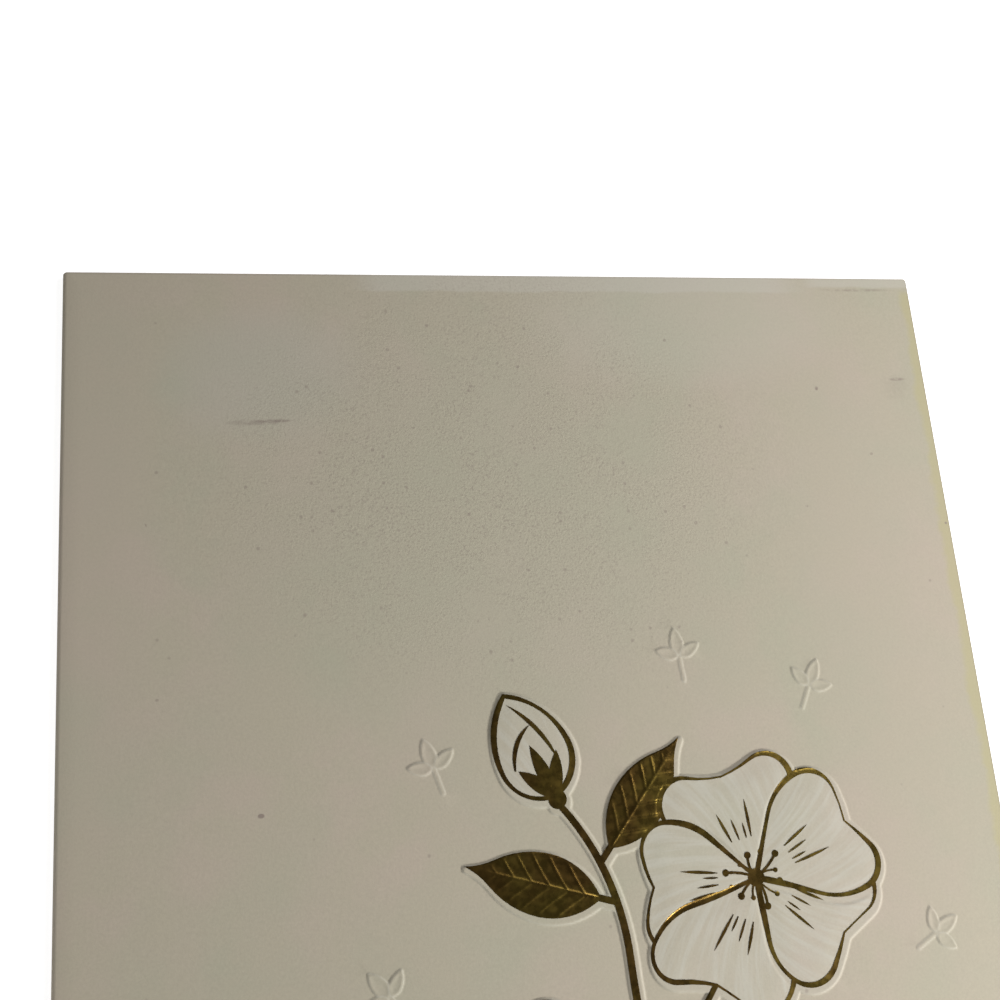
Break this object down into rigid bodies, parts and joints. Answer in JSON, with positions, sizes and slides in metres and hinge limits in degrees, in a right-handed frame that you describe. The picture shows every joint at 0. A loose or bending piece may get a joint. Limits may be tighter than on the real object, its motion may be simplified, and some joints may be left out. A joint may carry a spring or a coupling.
{
  "type": "greeting card",
  "caption": "Folded greeting card of ivory board, its front embossed and gold-foiled with a spray of wild roses.",
  "frame": {"origin": "middle of the back panel's underside, the face that the closed card lies on", "axes": "+X from the fold to the opening edge, +Y from the foot of the card to its head, +Z out of the front"},
  "size_m": [0.127, 0.178, 0.0036],
  "materials": {
    "ivory_board": "uncoated ivory board with a fine tooth, yellowed at its opening edge",
    "gold_foil": "hot-stamped antique gold foil, thin and bright"
  },
  "bodies": {
    "root": {"folded_card": "ivory_board", "gold_foil_print": "gold_foil"}
  },
  "joints": []
}
